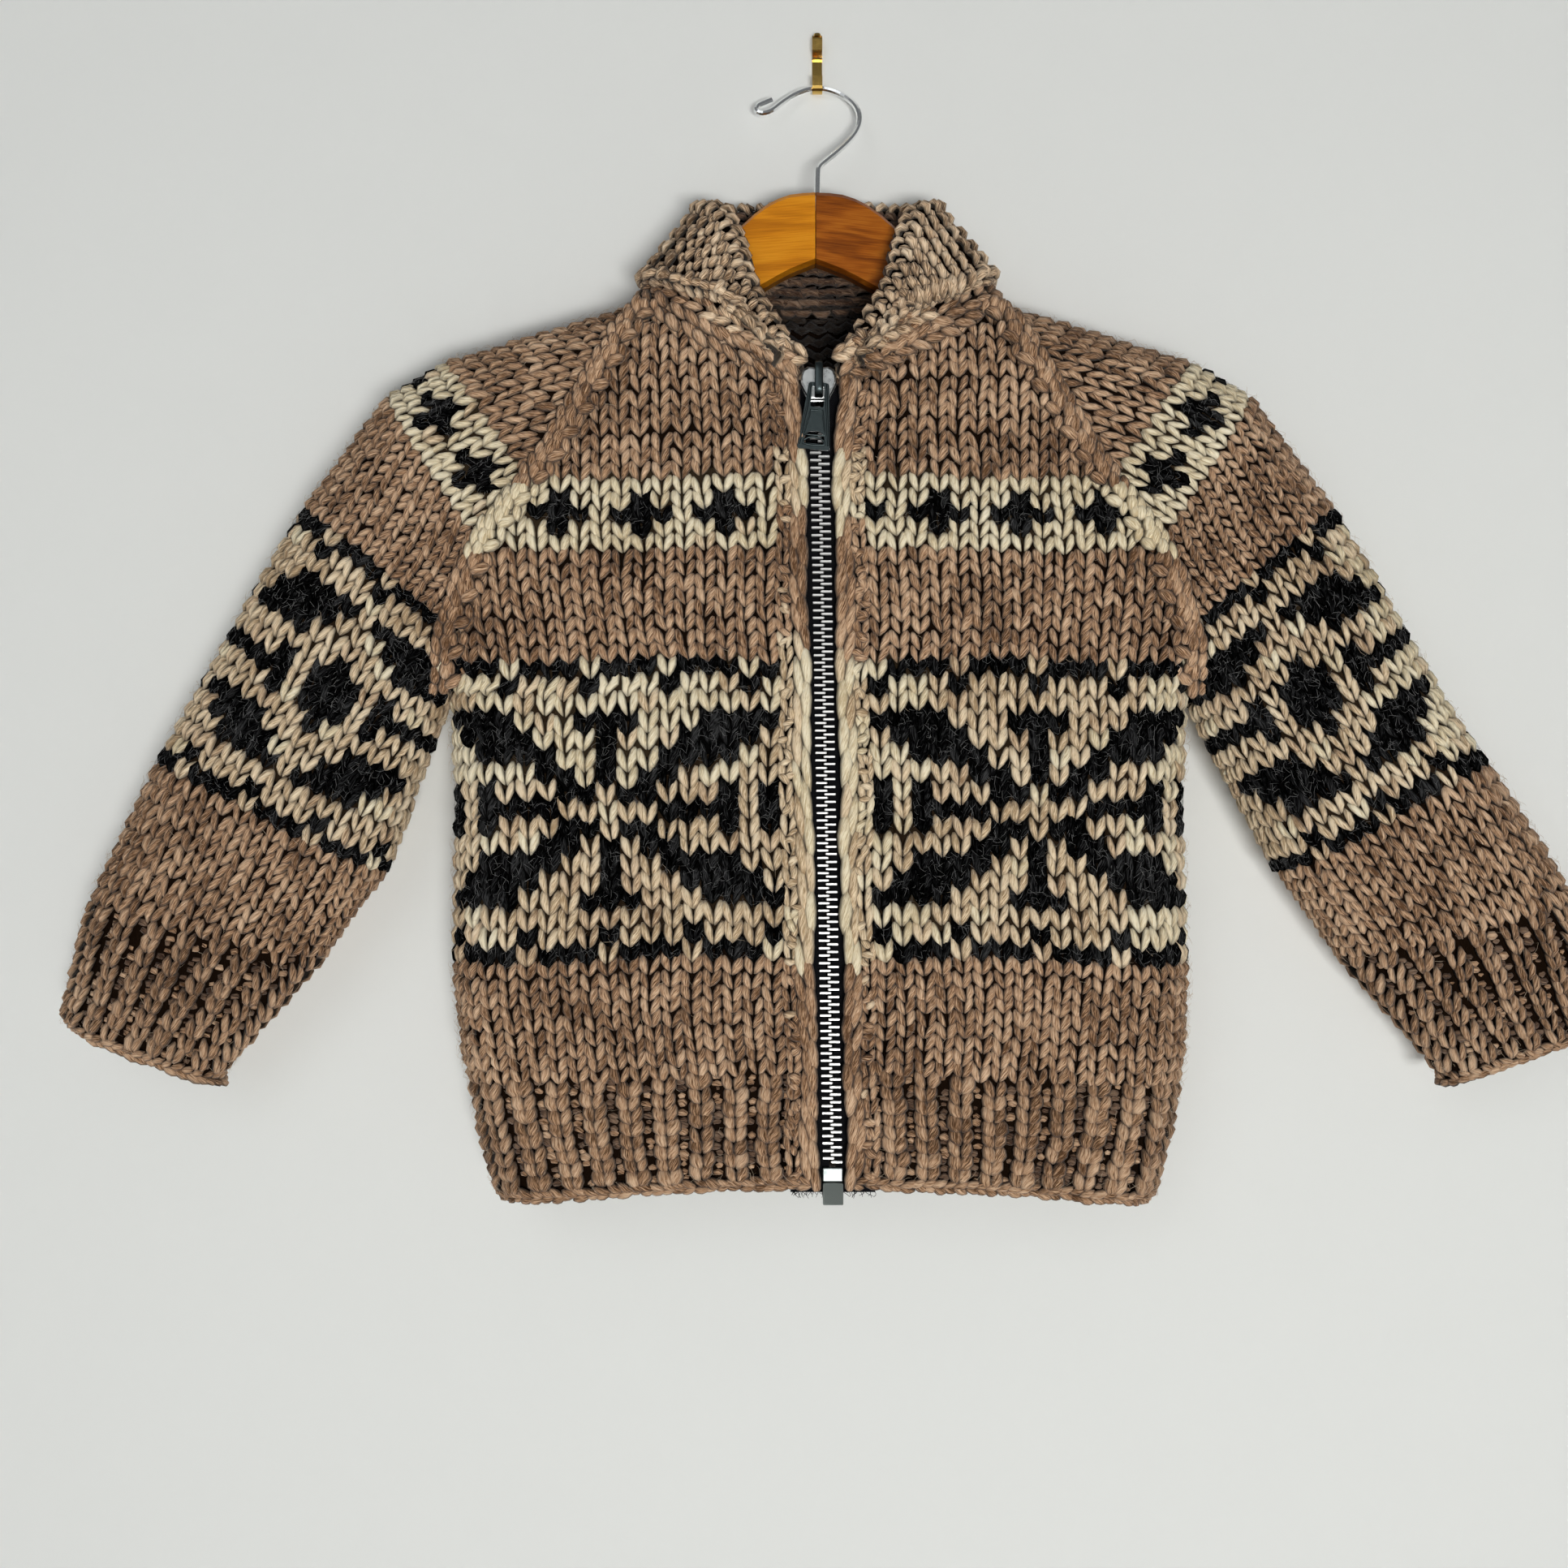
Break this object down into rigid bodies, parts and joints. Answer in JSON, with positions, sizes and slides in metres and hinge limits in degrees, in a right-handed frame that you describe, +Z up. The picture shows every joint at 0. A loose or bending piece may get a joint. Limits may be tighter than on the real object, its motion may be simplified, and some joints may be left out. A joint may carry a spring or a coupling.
{
  "type": "cowichan cardigan on a wooden hanger and wall hook",
  "caption": "Child's zipped cowichan cardigan in thick wool with raglan sleeves and shawl collar, hanging on a wooden hanger from a brass wall hook.",
  "frame": {"origin": "on the back face of the brass wall hook's plate, where it lies on the wall", "axes": "+Z up, +Y into the wall, +X to the viewer's right, which is the wearer's left"},
  "size_m": [0.816, 0.0777, 0.6341],
  "materials": {
    "knit_body": "hand-spun wool in fawn with cream, oatmeal and charcoal pattern, fuzzy",
    "knit_sleeve": "the same wool, knitted in the round",
    "knit_collar": "fawn wool in garter stitch",
    "zip_tape": "black woven tape",
    "zip_metal": "bright nickel-plated metal",
    "dark_metal": "gunmetal, satin",
    "hanger_wood_honey": "honey-coloured varnished wood",
    "hanger_wood_red": "redder varnished wood with a small knot",
    "hook_chrome": "polished chrome wire",
    "hook_brass": "polished brass strip"
  },
  "bodies": {
    "garment": {"back": "knit_body", "front_right": "knit_body", "front_left": "knit_body", "sleeve_right": "knit_sleeve", "sleeve_left": "knit_sleeve", "collar": "knit_collar", "zip_tape_right": "zip_tape", "zip_tape_left": "zip_tape", "zip_chain": "zip_metal", "zip_pin": "zip_metal", "zip_box": "zip_metal", "slider": "zip_metal", "slider_bridge": "dark_metal", "hanger_right": "hanger_wood_honey", "hanger_left": "hanger_wood_red", "hanger_hook": "hook_chrome", "wall_hook": "hook_brass", "nail_guide": "hook_brass", "nail_head": "hook_brass"},
    "zip_pull": {"pull_tab": "dark_metal"}
  },
  "joints": [
    {"name": "pull_swing", "type": "hinge", "parent": "garment", "child": "zip_pull", "pos_m": [-0.0004, -0.0692, -0.2012], "axis": [-1, 0, 0], "range_deg": [0, 150]}
  ]
}
